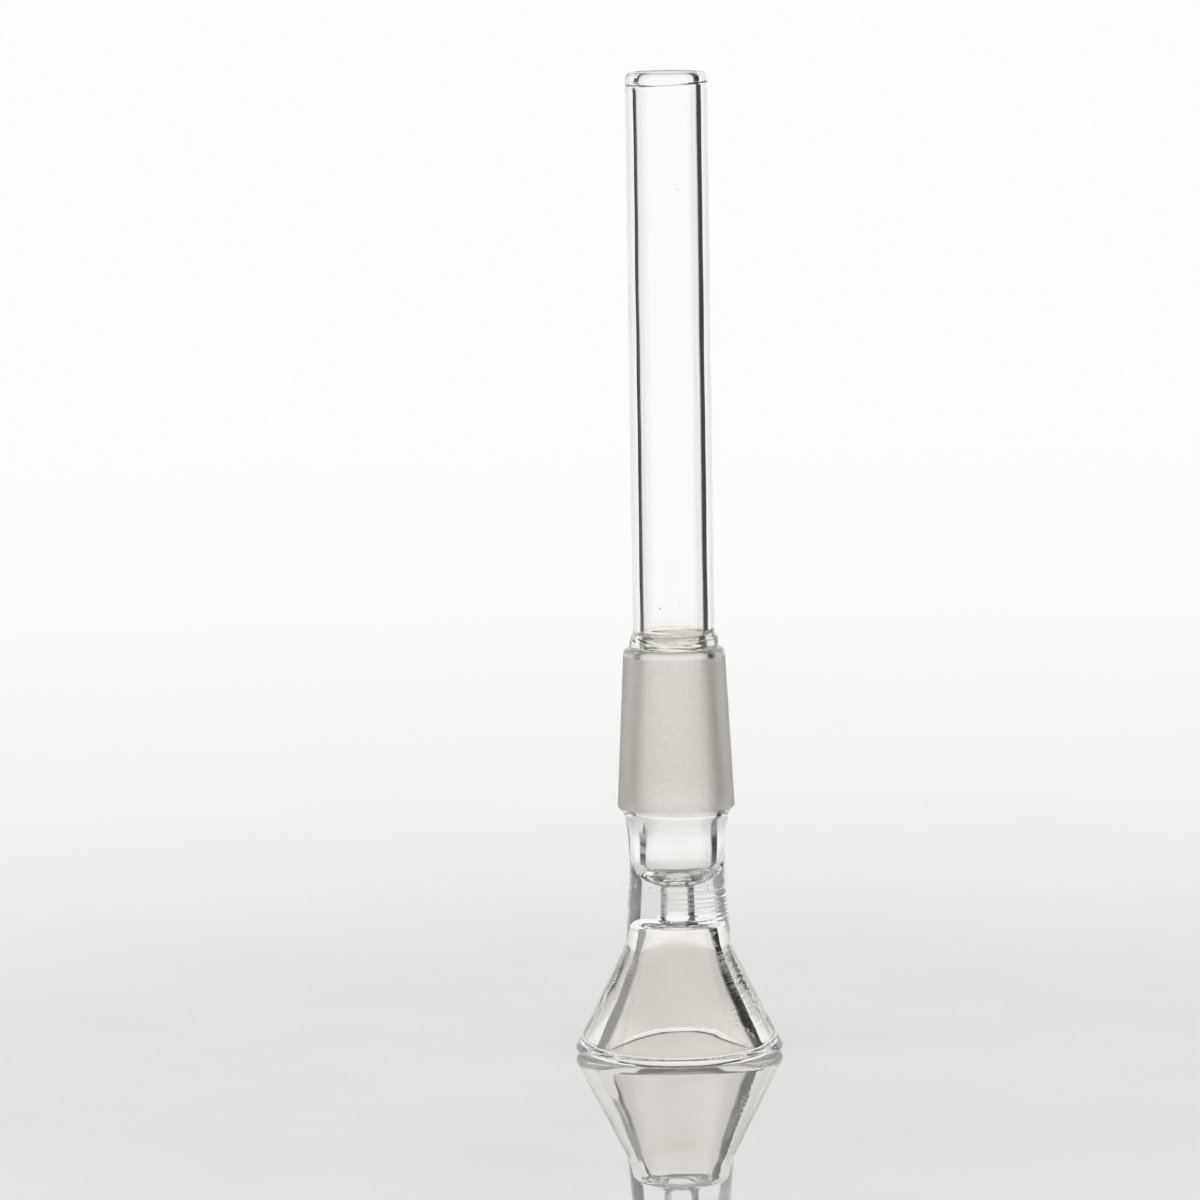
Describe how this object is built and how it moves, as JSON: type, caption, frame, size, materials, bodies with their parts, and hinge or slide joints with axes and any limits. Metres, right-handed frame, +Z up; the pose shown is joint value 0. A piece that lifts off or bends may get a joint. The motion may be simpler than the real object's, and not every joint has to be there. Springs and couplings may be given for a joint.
{
  "type": "ground-joint glass funnel with long stem",
  "caption": "Clear lamp-worked glass bowl standing on its mouth, with a narrow throat, a frosted male taper joint and a long open stem tube, all on one axis.",
  "frame": {"origin": "centre of the mouth's flat ring, on the surface that the part stands on", "axes": "+Z up along the part's axis, from the bowl's mouth to the open end of the stem; X and Y are any pair across it"},
  "size_m": [0.0256, 0.0256, 0.1217],
  "materials": {
    "stem_glass": "clear drawn tubing, fire-polished",
    "seal_glass": "clear fused glass, slightly rippled",
    "frosted_glass": "ground matt, with clear shoulders",
    "shank_glass": "clear, fire-polished",
    "throat_glass": "clear, with small bubbles and faint ripples",
    "bowl_glass": "clear thick wall, faintly grey-green at the mouth"
  },
  "bodies": {
    "root": {"stem_tube": "stem_glass", "stem_seal": "seal_glass", "ground_joint": "frosted_glass", "joint_shank": "shank_glass", "throat_web": "throat_glass", "bowl_cone": "bowl_glass"}
  },
  "joints": []
}
